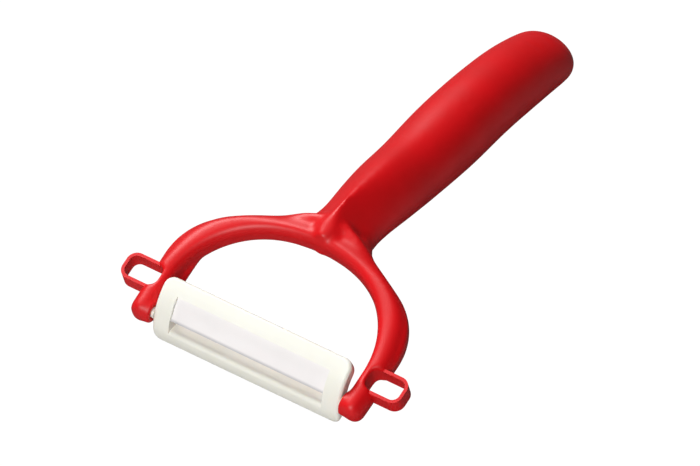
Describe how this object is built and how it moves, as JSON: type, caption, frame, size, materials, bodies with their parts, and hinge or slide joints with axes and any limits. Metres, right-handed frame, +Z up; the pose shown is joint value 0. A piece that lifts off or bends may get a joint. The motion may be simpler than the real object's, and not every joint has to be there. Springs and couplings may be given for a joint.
{
  "type": "vegetable peeler",
  "caption": "Y-shaped vegetable peeler: a red plastic handle with a bow and two eye loops, and a rocking white holder with a flat ceramic blade between the bow's arms.",
  "frame": {"origin": "middle of the footprint, on the table the peeler lies on", "axes": "+X along the blade, to the right seen from above with the grip pointing away; +Y from the blade to the grip's end; +Z up"},
  "size_m": [0.0764, 0.1344, 0.027],
  "materials": {
    "handle_plastic": "semi-gloss moulded red plastic",
    "holder_plastic": "satin moulded ivory-white plastic",
    "blade_ceramic": "smooth ground white ceramic"
  },
  "bodies": {
    "handle_body": {"handle": "handle_plastic", "left_eye_loop": "handle_plastic", "right_eye_loop": "handle_plastic"},
    "holder_body": {"blade_holder": "holder_plastic", "ceramic_blade": "blade_ceramic"}
  },
  "joints": [
    {"name": "holder_rock", "type": "hinge", "parent": "handle_body", "child": "holder_body", "pos_m": [0, -0.06405, 0.00742], "axis": [1, 0, 0], "range_deg": [-33, 75]}
  ]
}
